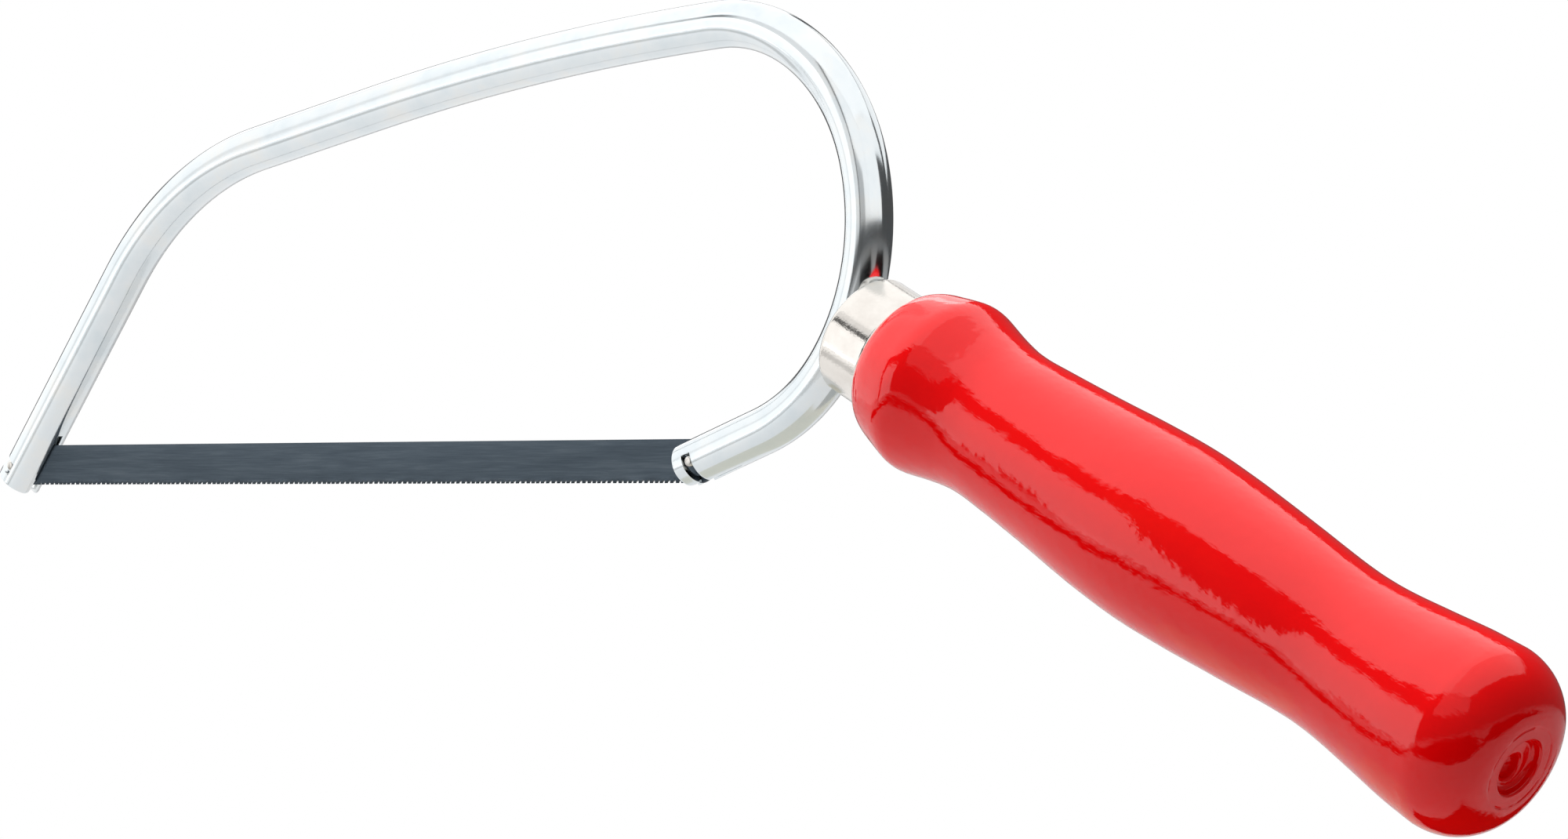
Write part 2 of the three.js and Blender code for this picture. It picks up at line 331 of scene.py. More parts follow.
def make_material(name):
    """A new material, its nodes and links, and its Principled shader."""
    material = bpy.data.materials.new(name)
    material.use_nodes = True
    nodes = material.node_tree.nodes
    return material, nodes, material.node_tree.links, nodes["Principled BSDF"]


def add_noise(nodes, links, vector, scale, detail=3.0, roughness=0.55, stretch=None):
    """A noise texture on a vector socket, stretched by a scale on each axis."""
    texture = nodes.new("ShaderNodeTexNoise")
    texture.inputs["Scale"].default_value = scale
    texture.inputs["Detail"].default_value = detail
    texture.inputs["Roughness"].default_value = roughness
    if stretch is not None:
        mapping = nodes.new("ShaderNodeMapping")
        mapping.inputs["Scale"].default_value = stretch
        links.new(vector, mapping.inputs["Vector"])
        vector = mapping.outputs["Vector"]
    links.new(vector, texture.inputs["Vector"])
    return texture.outputs["Fac"]


def add_ramp(nodes, links, value, stops):
    """A colour ramp with (position, colour) stops."""
    ramp = nodes.new("ShaderNodeValToRGB")
    elements = ramp.color_ramp.elements
    while len(elements) < len(stops):
        elements.new(0.5)
    for element, (position, colour) in zip(elements, stops):
        element.position = position
        element.color = (*colour, 1)
    links.new(value, ramp.inputs["Fac"])
    return ramp.outputs["Color"]


def add_range(nodes, links, value, low, high):
    """A value from 0 to 1 taken to another range."""
    scaled = nodes.new("ShaderNodeMapRange")
    scaled.inputs["To Min"].default_value = low
    scaled.inputs["To Max"].default_value = high
    links.new(value, scaled.inputs["Value"])
    return scaled.outputs["Result"]


def add_bump(nodes, links, height, strength, distance, normal=None):
    bump = nodes.new("ShaderNodeBump")
    bump.inputs["Strength"].default_value = strength
    bump.inputs["Distance"].default_value = distance
    links.new(height, bump.inputs["Height"])
    if normal is not None:
        links.new(normal, bump.inputs["Normal"])
    return bump.outputs["Normal"]


def grain_vector(nodes):
    attribute = nodes.new("ShaderNodeAttribute")
    attribute.attribute_name = "grain"
    return attribute.outputs["Vector"]


def object_vector(nodes):
    return nodes.new("ShaderNodeTexCoord").outputs["Object"]


def zinc_material():
    """Bright blue-passivated zinc over drawn tube: faint lengthwise lines, cloudy tint, fine dimples."""
    material, nodes, links, shader = make_material("bright_zinc")
    vector = grain_vector(nodes)
    cloud = add_noise(nodes, links, vector, 0.16, 4, 0.6)
    drawn = add_noise(nodes, links, vector, 3.2, 4, 0.7, (0.02, 1, 1))
    grit = add_noise(nodes, links, vector, 5.0, 3, 0.6)
    tint = add_ramp(
        nodes, links, cloud,
        [(0.30, (0.61, 0.66, 0.685)), (0.52, (0.665, 0.70, 0.715)), (0.72, (0.70, 0.705, 0.69))],
    )
    links.new(tint, shader.inputs["Base Color"])
    shader.inputs["Metallic"].default_value = 1.0
    links.new(add_range(nodes, links, drawn, 0.09, 0.17), shader.inputs["Roughness"])
    lines = add_bump(nodes, links, drawn, 0.07, 0.00001)
    links.new(add_bump(nodes, links, grit, 0.06, 0.000006, lines), shader.inputs["Normal"])
    return material


def blade_material():
    """Blued spring steel, ground lengthwise."""
    material, nodes, links, shader = make_material("blued_blade")
    vector = object_vector(nodes)
    streak = add_noise(nodes, links, vector, 4200, 4, 0.7, (0.035, 0.5, 1))
    broad = add_noise(nodes, links, vector, 900, 3, 0.6, (0.06, 0.5, 1))
    patch = add_noise(nodes, links, vector, 60, 3, 0.6, (0.6, 1, 1.5))
    mix = nodes.new("ShaderNodeMix")
    mix.data_type = "FLOAT"
    mix.inputs[0].default_value = 0.45
    links.new(streak, mix.inputs[2])
    links.new(broad, mix.inputs[3])
    colour = add_ramp(
        nodes, links, mix.outputs[0],
        [(0.30, (0.050, 0.070, 0.092)), (0.52, (0.075, 0.100, 0.125)), (0.75, (0.120, 0.150, 0.178))],
    )
    links.new(colour, shader.inputs["Base Color"])
    shader.inputs["Metallic"].default_value = 0.75
    links.new(add_range(nodes, links, patch, 0.42, 0.58), shader.inputs["Roughness"])
    links.new(add_bump(nodes, links, mix.outputs[0], 0.3, 0.00003), shader.inputs["Normal"])
    return material


def pin_material():
    """Bare steel pin, turned and slightly stained."""
    material, nodes, links, shader = make_material("bare_pin_steel")
    vector = object_vector(nodes)
    stain = add_noise(nodes, links, vector, 900, 4, 0.65)
    colour = add_ramp(nodes, links, stain, [(0.35, (0.55, 0.51, 0.46)), (0.65, (0.86, 0.84, 0.80))])
    links.new(colour, shader.inputs["Base Color"])
    shader.inputs["Metallic"].default_value = 1.0
    links.new(add_range(nodes, links, stain, 0.22, 0.42), shader.inputs["Roughness"])
    links.new(add_bump(nodes, links, stain, 0.25, 0.00003), shader.inputs["Normal"])
    return material


def nickel_material():
    """Warm satin nickel with a fine grained surface that breaks up reflections."""
    material, nodes, links, shader = make_material("satin_nickel")
    vector = grain_vector(nodes)
    speckle = add_noise(nodes, links, vector, 3.6, 2, 0.6)
    cloud = add_noise(nodes, links, vector, 0.35, 3, 0.6)
    tint = add_ramp(nodes, links, cloud, [(0.3, (0.64, 0.605, 0.565)), (0.7, (0.72, 0.69, 0.65))])
    links.new(tint, shader.inputs["Base Color"])
    shader.inputs["Metallic"].default_value = 1.0
    links.new(add_range(nodes, links, speckle, 0.05, 0.16), shader.inputs["Roughness"])
    links.new(add_bump(nodes, links, speckle, 1.0, 0.000012), shader.inputs["Normal"])
    return material


def lacquer_material():
    """Thick red lacquer over turned wood: orange peel, fine lengthwise streaks and faint grain."""
    material, nodes, links, shader = make_material("red_lacquer")
    vector = grain_vector(nodes)
    depth = add_noise(nodes, links, vector, 0.05, 3, 0.6, (0.5, 1, 1))
    wood = add_noise(nodes, links, vector, 1.1, 5, 0.7, (0.10, 1.6, 0.5))
    peel = add_noise(nodes, links, vector, 0.7, 1.2, 0.4, (0.9, 1, 1))
    colour = add_ramp(
        nodes, links, depth,
        [(0.3, (0.78, 0.0005, 0.0012)), (0.55, (0.84, 0.0012, 0.0020)), (0.75, (0.88, 0.0050, 0.0025))],
    )
    links.new(colour, shader.inputs["Base Color"])
    shader.inputs["Roughness"].default_value = 0.45
    shader.inputs["Specular IOR Level"].default_value = 0.0
    shader.inputs["Coat Weight"].default_value = 1.0
    shader.inputs["Coat Roughness"].default_value = 0.02
    shader.inputs["Coat IOR"].default_value = 1.53
    waves = add_bump(nodes, links, peel, 0.35, 0.00012)
    drawn = add_noise(nodes, links, vector, 3.0, 2, 0.6, (0.3, 1, 1))
    streaks = add_bump(nodes, links, drawn, 0.7, 0.00002, waves)
    surface = add_bump(nodes, links, wood, 0.10, 0.00004, streaks)
    links.new(surface, shader.inputs["Normal"])
    links.new(surface, shader.inputs["Coat Normal"])
    return material


def screw_material():
    """Plain zinc-plated screw steel."""
    material, nodes, links, shader = make_material("screw_steel")
    vector = object_vector(nodes)
    wear = add_noise(nodes, links, vector, 600, 4, 0.6)
    colour = add_ramp(nodes, links, wear, [(0.35, (0.42, 0.42, 0.40)), (0.7, (0.66, 0.66, 0.63))])
    links.new(colour, shader.inputs["Base Color"])
    shader.inputs["Metallic"].default_value = 1.0
    links.new(add_range(nodes, links, wear, 0.25, 0.45), shader.inputs["Roughness"])
    return material


def matt_material(name, colour, glow=0.0):
    """A plain card's material, which may also glow with its own colour."""
    material, _, _, shader = make_material(name)
    shader.inputs["Base Color"].default_value = colour
    shader.inputs["Emission Color"].default_value = colour
    shader.inputs["Emission Strength"].default_value = glow
    shader.inputs["Roughness"].default_value = 0.9
    shader.inputs["Specular IOR Level"].default_value = 0.0
    return material


def floor_material():
    material, _, _, shader = make_material("pale_floor")
    shader.inputs["Base Color"].default_value = (0.86, 0.86, 0.86, 1)
    shader.inputs["Roughness"].default_value = 0.8
    shader.inputs["Specular IOR Level"].default_value = 0.1
    return material


# ---------------------------------------------------------------- bow tube


def split_range(breaks, step):
    """Values from the first break to the last, on every break and at most a step apart."""
    values = []
    for low, high in zip(breaks, breaks[1:]):
        count = max(1, math.ceil((high - low) / step - 1e-9))
        values += [low + (high - low) * i / count for i in range(count)]
    return values + [breaks[-1]]


def tube_stations():
    """Distances along the bow for each ring of the tube, closer where the ends are worked."""
    end = bow_line.length
    front = sorted([
        0, FRONT_PIN_ALONG - FRONT_NOTCH["short"], FRONT_PIN_ALONG + FRONT_NOTCH["long"],
        FRONT_SLIT["outer"], FRONT_SLIT["inner"], FRONT_SLIT["inner"] + 1,
    ])
    rear = sorted([
        end, REAR_PIN_ALONG + REAR_NOTCH["short"], REAR_PIN_ALONG - REAR_NOTCH["long"],
        end - REAR_SLIT["outer"], end - REAR_SLIT["inner"], end - REAR_SLIT["outer"] - 1,
    ])
    reach = SCREW_ACCESS_RADIUS + 1
    hole = [CROSSING_ALONG - reach, CROSSING_ALONG + reach]
    return (
        split_range(front, TUBE_FINE_STEP)[:-1]
        + split_range([front[-1], hole[0]], TUBE_STEP)[:-1]
        + split_range(hole, TUBE_FINE_STEP)[:-1]
        + split_range([hole[1], rear[0]], TUBE_STEP)[:-1]
        + split_range(rear, TUBE_FINE_STEP)
    )


def tube_angles():
    """Angles round the tube from the outside of the bow, with one on each slit's and notch's edge."""
    slit = math.asin(SLIT_WIDTH / 2 / TUBE_RADIUS)
    floors = [
        math.acos((FRONT_PIN_LEFT - NOTCH_FLOOR["front"]) / TUBE_RADIUS),
        math.acos((REAR_PIN_LEFT - NOTCH_FLOOR["rear"]) / TUBE_RADIUS),
    ]
    half = sorted([0, slit, *floors, math.pi - slit, math.pi])
    upper = split_range(half, 2 * math.pi / TUBE_COLUMNS)
    return np.array(upper + [-a for a in reversed(upper[1:-1])])


def tube_cell_is_open(along, angle):
    """Whether the tube's wall is cut away at this place, by a slit, a notch or a hole for the screw."""
    left = TUBE_RADIUS * math.cos(angle)
    to_rear = bow_line.length - along
    if abs(TUBE_RADIUS * math.sin(angle)) < SLIT_WIDTH / 2:
        wall = "outer" if left > 0 else "inner"
        if along < FRONT_SLIT[wall] or to_rear < REAR_SLIT[wall]:
            return True
    from_front_pin = along - FRONT_PIN_ALONG
    if -FRONT_NOTCH["short"] < from_front_pin < FRONT_NOTCH["long"]:
        if left > FRONT_PIN_LEFT - NOTCH_FLOOR["front"]:
            return True
    from_rear_pin = REAR_PIN_ALONG - along
    if -REAR_NOTCH["short"] < from_rear_pin < REAR_NOTCH["long"]:
        if left > REAR_PIN_LEFT - NOTCH_FLOOR["rear"]:
            return True
    from_crossing = along - CROSSING_ALONG
    if math.hypot(from_crossing, TUBE_RADIUS * angle) < SCREW_ACCESS_RADIUS:
        return True
    across = TUBE_RADIUS * (math.pi - abs(angle))
    return math.hypot(from_crossing, across) < SCREW_ACCESS_RADIUS


def rounded_corner(distance, radius):
    """How far an edge falls back at a distance from a corner that is rounded to a radius."""
    t = 1 - np.clip(distance / radius, 0, 1)
    return radius * (1 - np.sqrt(1 - t * t))


def tube_surface(along, angle, radius):
    """Points of the tube's wall at a radius, with its worked ends: rounded lobes, spread and pinch."""
    to_rear = bow_line.length - along
    from_outside = np.abs(angle) * TUBE_RADIUS - SLIT_WIDTH / 2
    from_inside = (math.pi - np.abs(angle)) * TUBE_RADIUS - SLIT_WIDTH / 2
    beside_slit = np.maximum(np.minimum(from_outside, from_inside), 0)
    fall = rounded_corner(beside_slit, LOBE_RADIUS)
    fade = 3 * LOBE_RADIUS
    along = along + fall * np.clip(1 - along / fade, 0, 1) - fall * np.clip(1 - to_rear / fade, 0, 1)
    places = np.array([bow_line.at(s) for s in along])
    x, z, heading = places.T
    outward = smooth_step(-0.1, 0.5, np.cos(angle))
    prong = 1 - smooth_step(FRONT_PIN_ALONG - 1.0, FRONT_PIN_ALONG + 0.6, along)
    ring = smooth_step(REAR_PIN_ALONG - 0.4, REAR_PIN_ALONG + 1.2, along)
    left = radius * np.cos(angle) + outward * (PRONG_SPREAD * prong - REAR_PINCH * ring * np.cos(angle))
    y = -radius * np.sin(angle)
    return np.stack([x - np.sin(heading) * left, y, z + np.cos(heading) * left], axis=-1)


def snap_to_access_hole(stations, angles, cells):
    """Moves the grid's corners on the edge of the access hole onto its circle."""
    along = np.repeat(stations, len(angles)).astype(float)
    angle = np.tile(angles, len(stations)).astype(float)
    touched = np.zeros(len(along), int)
    for corners, is_kept in cells:
        for c in corners:
            touched[c] |= 1 if is_kept else 2
    across = TUBE_RADIUS * (math.pi - np.abs(angle)) * np.sign(np.where(angle == 0, 1, angle))
    offset = along - CROSSING_ALONG
    distance = np.hypot(offset, across)
    edge = (touched == 3) & (distance < SCREW_ACCESS_RADIUS + 1) & (distance > 0.1)
    scale = np.where(edge, SCREW_ACCESS_RADIUS / np.maximum(distance, 0.1), 1)
    along = np.where(edge, CROSSING_ALONG + offset * scale, along)
    side = np.where(np.abs(angle) >= math.pi - 1e-9, 0, across * scale)
    snapped = (math.pi - np.abs(side) / TUBE_RADIUS) * np.where(side < 0, -1, 1)
    return along, np.where(edge, snapped, angle)


def make_bow_tube(material):
    """The bent tube as an outer and an inner skin, joined wherever its wall is cut away."""
    stations = np.array(tube_stations())
    angles = tube_angles()
    rows, columns = len(stations), len(angles)
    cells = []
    for i in range(rows - 1):
        middle = (stations[i] + stations[i + 1]) / 2
        for j in range(columns):
            k = (j + 1) % columns
            step = (angles[k] - angles[j] + math.pi) % (2 * math.pi) - math.pi
            angle = angles[j] + step / 2
            angle = (angle + math.pi) % (2 * math.pi) - math.pi
            corners = (i * columns + j, i * columns + k, (i + 1) * columns + k, (i + 1) * columns + j)
            cells.append((corners, not tube_cell_is_open(middle, angle)))
    along, angle = snap_to_access_hole(stations, angles, cells)
    outer = tube_surface(along, angle, TUBE_RADIUS)
    inner = tube_surface(along, angle, TUBE_RADIUS - TUBE_WALL)
    count = len(outer)
    faces = []
    sides = {}
    for corners, is_kept in cells:
        if not is_kept:
            continue
        faces.append(corners)
        faces.append(tuple(c + count for c in reversed(corners)))
        for a, b in zip(corners, corners[1:] + corners[:1]):
            key = (min(a, b), max(a, b))
            sides[key] = None if key in sides else (a, b)
    for edge in sides.values():
        if edge is not None:
            a, b = edge
            faces.append((b, a, a + count, b + count))
    reach = np.repeat([TUBE_RADIUS, TUBE_RADIUS - TUBE_WALL], count)
    along, angle = np.tile(along, 2), np.tile(angle, 2)
    grain = np.stack([along, reach * np.cos(angle), reach * np.sin(angle)], axis=-1)
    piece = add_piece(
        "bow_tube_fine", np.concatenate([outer, inner]), faces,
        "frame", "bow_tube", material, grain,
    )
    bevel_edges(piece, EDGE_ROUNDING)


# ---------------------------------------------------------------- blade and pins


def arc_points(centre, radius, start, end, steps):
    angles = np.radians(np.linspace(start, end, steps + 1))
    return [(centre[0] + radius * math.cos(a), centre[1] + radius * math.sin(a)) for a in angles]


def ellipse_points(centre, along, across, start, end, steps):
    angles = np.radians(np.linspace(start, end, steps + 1))
    return [(centre[0] + along * math.cos(t), centre[1] + across * math.sin(t)) for t in angles]


def blade_outline():
    """The blade's edge, with teeth leaning away from the handle along the bottom."""
    left, right = -BLADE_BEYOND_PIN, PIN_SPACING + BLADE_BEYOND_PIN
    top, bottom = BLADE_HEIGHT / 2, -BLADE_HEIGHT / 2
    teeth = int((PIN_SPACING - 2 * TOOTH_MARGIN) / TOOTH_PITCH)
    outline = [(TOOTH_MARGIN - TOOTH_LAND, bottom), (TOOTH_MARGIN, bottom)]
    for i in range(teeth):
        start = TOOTH_MARGIN + i * TOOTH_PITCH
        tip = start + TOOTH_PITCH
        outline += [
            (start + TOOTH_FACE * 0.4, bottom + TOOTH_DEPTH * 0.35),
            (tip - TOOTH_FACE - 0.42 * TOOTH_PITCH, bottom + TOOTH_DEPTH * 0.80),
            (tip - TOOTH_FACE - 0.22 * TOOTH_PITCH, bottom + TOOTH_DEPTH),
            (tip - TOOTH_FACE, bottom + TOOTH_DEPTH * 0.85),
            (tip - TOOTH_LAND, bottom),
            (tip, bottom),
        ]
    inset = BLADE_CORNER
    outline += arc_points((right - inset, bottom + inset), inset, -90, 0, 10)
    outline += arc_points((right - inset, top - inset), inset, 0, 90, 10)
    outline += arc_points((left + inset, top - inset), inset, 90, 180, 10)
    outline += arc_points((left + inset, bottom + inset), inset, 180, 270, 10)
    return outline


def from_lowest(face):
    """A face's corners in the same order, starting at the lowest index."""
    first = face.index(min(face))
    return face[first:] + face[:first]


def make_blade(material):
    """A flat sheet with teeth and pin holes, thickened, and then set in waves along its teeth."""
    work = bmesh.new()

    def loop(points):
        verts = [work.verts.new((x, 0, z)) for x, z in points]
        return [work.edges.new(pair) for pair in zip(verts, verts[1:] + verts[:1])]

    edges = loop(blade_outline())
    for x in (0, PIN_SPACING):
        edges += loop(arc_points((x, 0), PIN_RADIUS + GAP / 3, 0, 360, 28)[:-1])
    bmesh.ops.triangle_fill(work, edges=edges, use_beauty=True)
    for x in np.arange(0, PIN_SPACING, SET_WAVE / 6):
        cut = work.faces[:] + work.edges[:] + work.verts[:]
        bmesh.ops.bisect_plane(work, geom=cut, plane_co=(x, 0, 0), plane_no=(1, 0, 0))
    set_line = -BLADE_HEIGHT / 2 + 2 * TOOTH_DEPTH
    cut = work.faces[:] + work.edges[:] + work.verts[:]
    bmesh.ops.bisect_plane(work, geom=cut, plane_co=(0, 0, set_line), plane_no=(0, 0, 1))
    bmesh.ops.dissolve_degenerate(work, dist=1e-4, edges=work.edges)
    work.verts.ensure_lookup_table()
    flat = work.faces[:]
    front = bmesh.ops.extrude_face_region(work, geom=flat)
    for v in [g for g in front["geom"] if isinstance(g, bmesh.types.BMVert)]:
        v.co.y += BLADE_THICKNESS
    for v in work.verts:
        v.co.y -= BLADE_THICKNESS / 2
        depth = float(smooth_step(set_line, -BLADE_HEIGHT / 2, v.co.z))
        from_end = min(v.co.x, PIN_SPACING - v.co.x) - TOOTH_MARGIN
        depth *= float(smooth_step(0, SET_WAVE / 2, from_end))
        v.co.y += TOOTH_SET * depth * math.sin(2 * math.pi * v.co.x / SET_WAVE)
    work.verts.index_update()
    points = [tuple(v.co) for v in work.verts]
    faces = sorted(from_lowest(tuple(v.index for v in f.verts)) for f in work.faces)
    work.free()
    piece = add_piece("saw_blade_fine", points, faces, "blade", "saw_blade", material)
    bevel_edges(piece, BLADE_EDGE_ROUNDING, segments=2, angle=50)


def make_pin(name, node, x, material):
    """A pin whose ends are slightly domed and rounded."""
    half = PIN_LENGTH / 2
    edge_centre = (half - PIN_ROUNDING, PIN_RADIUS - PIN_ROUNDING)
    edge = ellipse_points(edge_centre, PIN_ROUNDING, PIN_ROUNDING, 90, 0, 6)
    dome = [(half + PIN_DOME * 2 / 3, PIN_RADIUS * 0.4), (half + PIN_DOME, 0.02)]
    right = edge + dome
    rows = [(-y, r) for y, r in reversed(right)] + right
    columns = 40
    around = np.linspace(0, 2 * math.pi, columns, endpoint=False)
    points = [(x + r * math.cos(t), y, r * math.sin(t)) for y, r in rows for t in around]
    faces = lathe_faces(len(rows), columns)
    faces.append(tuple(range(columns)))
    last = (len(rows) - 1) * columns
    faces.append(tuple(reversed(range(last, last + columns))))
    return add_piece(name, points, faces, "blade", node, material)


# ---------------------------------------------------------------- handle, ferrule and screw


def curve_through(points, step):
    """A smooth curve (Catmull-Rom, by chord length) through profile points, sampled every step."""
    points = [np.array(p, float) for p in points]
    points = [2 * points[0] - points[1], *points, 2 * points[-1] - points[-2]]
    made = []
    for p0, p1, p2, p3 in zip(points, points[1:], points[2:], points[3:]):
        t0 = 0.0
        t1 = t0 + math.sqrt(np.linalg.norm(p1 - p0))
        t2 = t1 + math.sqrt(np.linalg.norm(p2 - p1))
        t3 = t2 + math.sqrt(np.linalg.norm(p3 - p2))
        count = max(2, round(np.linalg.norm(p2 - p1) / step))
        for t in np.linspace(t1, t2, count, endpoint=False):
            a1 = (t1 - t) / (t1 - t0) * p0 + (t - t0) / (t1 - t0) * p1
            a2 = (t2 - t) / (t2 - t1) * p1 + (t - t1) / (t2 - t1) * p2
            a3 = (t3 - t) / (t3 - t2) * p2 + (t - t2) / (t3 - t2) * p3
            b1 = (t2 - t) / (t2 - t0) * a1 + (t - t0) / (t2 - t0) * a2
            b2 = (t3 - t) / (t3 - t1) * a2 + (t - t1) / (t3 - t1) * a3
            made.append(tuple((t2 - t) / (t2 - t1) * b1 + (t - t1) / (t2 - t1) * b2))
    return made + [tuple(points[-2])]


def straight_between(start, end, step):
    """Profile points from the start up to, but not including, the end."""
    count = max(2, round(math.dist(start, end) / step))
    return [tuple(p) for p in np.linspace(start, end, count, endpoint=False)]


def soften(profile, first, last, passes):
    """Rounds the corners of part of a profile by averaging each point with its neighbours."""
    points = np.array(profile, float)
    for _ in range(passes):
        middle = (points[first - 1:last - 1] + 2 * points[first:last] + points[first + 1:last + 1]) / 4
        points[first:last] = middle
    return [tuple(p) for p in points]


def handle_profile():
    """(distance along the axis, radius) from inside the tenon, over the grip and into the butt hole."""
    tenon_radius = FERRULE_RADIUS - FERRULE_WALL - GAP
    tenon_front = FERRULE_FRONT + FERRULE_END_WALL + GAP
    pilot = SCREW_RADIUS + GAP
    inside = [(SCREW_END + GAP, 0.01), (SCREW_END + GAP, pilot), (tenon_front, pilot)]
    tenon = [
        (tenon_front, tenon_radius - 0.4),
        (tenon_front + 0.4, tenon_radius),
        (NOSE_FACE, tenon_radius),
    ]
    nose = curve_through([*NOSE, NOSE_CORNER], 0.22)[:-1]
    bulb = straight_between(NOSE_CORNER, CREASE, 0.3)
    taper = straight_between(CREASE, GRIP[0], 0.3)
    grip = curve_through([*GRIP, BUTT], 0.55)[:-1]
    butt = ellipse_points(
        (BUTT[0], BUTT_FLAT_RADIUS), BUTT_FACE - BUTT[0], BUTT[1] - BUTT_FLAT_RADIUS, 90, 0, 44
    )
    outer = soften(nose + bulb + taper + grip, 2, len(nose + bulb + taper) + 8, CORNER_SOFTENING)
    rim_start = BUTT_HOLE_RADIUS + BUTT_HOLE_RIM
    flat_radii = np.linspace(BUTT_FLAT_RADIUS, rim_start, BUTT_FLAT_ROWS)[1:-1]
    flat = [(BUTT_FACE - 0.02, r) for r in flat_radii]
    rim_centre = (BUTT_FACE - BUTT_HOLE_RIM, rim_start)
    rim = ellipse_points(rim_centre, BUTT_HOLE_RIM, -BUTT_HOLE_RIM, 0, 90, 8)
    ledge = BUTT_FACE - BUTT_LEDGE_DEPTH
    wall = curve_through(
        [
            (BUTT_FACE - BUTT_HOLE_RIM, BUTT_HOLE_RADIUS),
            (ledge + 0.45, BUTT_HOLE_RADIUS - 0.12),
            (ledge + 0.1, BUTT_HOLE_RADIUS - 0.5),
            (ledge, BUTT_HOLE_RADIUS - 1.1),
            (ledge - 0.05, BUTT_PILOT_RADIUS + 0.35),
            (ledge - 0.3, BUTT_PILOT_RADIUS + 0.05),
            (ledge - 0.8, BUTT_PILOT_RADIUS),
        ],
        0.12,
    )[1:]
    bottom = ellipse_points(
        (BUTT_FACE - BUTT_PILOT_DEPTH + 1.2, 0.01), -1.2, BUTT_PILOT_RADIUS - 0.01, 90, 0, 12
    )
    return inside + tenon + outer + butt + flat + rim + wall + bottom


def make_handle(material):
    """The turned handle, with waves in its lacquer and a broken crack and off-centre hole in its butt."""
    profile = handle_profile()
    along, radius, angle = lathe_grid(profile, HANDLE_COLUMNS)
    grid = np.stack([along, radius * np.cos(angle), radius * np.sin(angle)], axis=-1)
    is_grip = smooth_step(FERRULE_RADIUS - 0.5, FERRULE_RADIUS + 0.6, radius)
    is_grip = is_grip * smooth_step(NOSE_FACE, NOSE_FACE + 2, along)
    waves = HANDLE_WAVE * soft_noise(grid * (0.35, 1, 1), 7.0)
    ripples = HANDLE_RIPPLE * soft_noise(grid * (0.6, 1, 1), 2.6, 3)
    radius = radius + (waves + ripples) * is_grip
    at_ring = np.exp(-(((radius - BUTT_RING_RADIUS) / BUTT_RING_WIDTH) ** 2))
    at_ring = at_ring * smooth_step(BUTT_FACE - 1.2, BUTT_FACE - 0.4, along)
    broken = smooth_step(-0.15, 0.1, soft_noise(grid * (0, 1, 1), 1.7, 5))
    along = along - BUTT_RING_DEPTH * at_ring * broken
    in_hole = smooth_step(BUTT_HOLE_RADIUS - 0.3, BUTT_PILOT_RADIUS + 0.4, radius)
    in_hole = in_hole * (along > BUTT_FACE - 12)
    up = radius * np.cos(angle) + in_hole * BUTT_PILOT_OFFSET[1]
    side = radius * np.sin(angle) + in_hole * BUTT_PILOT_OFFSET[0]
    return add_piece(
        "handle_fine", along_handle(along, up, side), lathe_faces(len(profile), HANDLE_COLUMNS),
        "frame", "handle", material, np.stack([along, up, side], axis=-1),
    )


def bend_at(along):
    """(centre x, centre z, radius) of the bow's bend at a distance along it."""
    _, _, run, turn = [s for s in bow_line.stretches if s[0] <= along][-1]
    radius = abs(run / turn)
    x, z, heading = bow_line.at(along)
    side = math.copysign(radius, turn)
    return x - math.sin(heading) * side, z + math.cos(heading) * side, radius


def saddle_depth(up, side):
    """How far along the handle's axis the tube and its gap reach, at each place across the axis."""
    angle = math.radians(HANDLE_ANGLE)
    cx, cz, radius = bend_at(CROSSING_ALONG)
    half = np.sqrt(np.clip((TUBE_RADIUS + GAP) ** 2 - side**2, 0, None))
    reach = np.where(np.abs(side) < TUBE_RADIUS + GAP, radius + half, 0)
    px = HANDLE_CROSSING[0] + up * math.sin(angle) - cx
    pz = HANDLE_CROSSING[1] + up * math.cos(angle) - cz
    middle = -(px * math.cos(angle) - pz * math.sin(angle))
    room = middle**2 - (px**2 + pz**2 - reach**2)
    return np.where(room > 0, middle + np.sqrt(np.clip(room, 0, None)), -1)


def make_ferrule(material):
    """A drawn cup whose closed end is hollowed where the tube lies against it."""
    back = NOSE_FACE - GAP
    bore = FERRULE_RADIUS - FERRULE_WALL
    hole = SCREW_RADIUS + GAP
    floor = FERRULE_FRONT + FERRULE_END_WALL
    face = [(FERRULE_FRONT, r) for r in np.linspace(hole, FERRULE_RADIUS - FERRULE_EDGE, 60)[:-1]]
    edge_centre = (FERRULE_FRONT + FERRULE_EDGE, FERRULE_RADIUS - FERRULE_EDGE)
    edge = ellipse_points(edge_centre, -FERRULE_EDGE, FERRULE_EDGE, 0, 90, 12)
    sleeve = [(a, FERRULE_RADIUS) for a in np.linspace(edge_centre[0], back - 0.15, 24)[1:]]
    lip = [(back, FERRULE_RADIUS - 0.15), (back, bore + 0.1), (back - 0.1, bore)]
    inside = [(floor + 1, bore), (floor + 0.3, bore - 0.1), (floor, bore - 0.6), (floor, hole)]
    profile = face + edge + sleeve + lip + inside
    rows = len(profile)
    along, radius, angle = lathe_grid(profile, FERRULE_COLUMNS)
    up, side = radius * np.cos(angle), radius * np.sin(angle)
    is_front = np.repeat(np.arange(rows) < len(face) + len(edge), FERRULE_COLUMNS)
    along = np.where(is_front, np.maximum(along, saddle_depth(up, side)), along)
    grain = np.stack([along, up, side], axis=-1)
    return add_piece(
        "ferrule_fine", along_handle(along, up, side),
        lathe_faces(rows, FERRULE_COLUMNS, closed_profile=True),
        "frame", "ferrule", material, grain,
    )


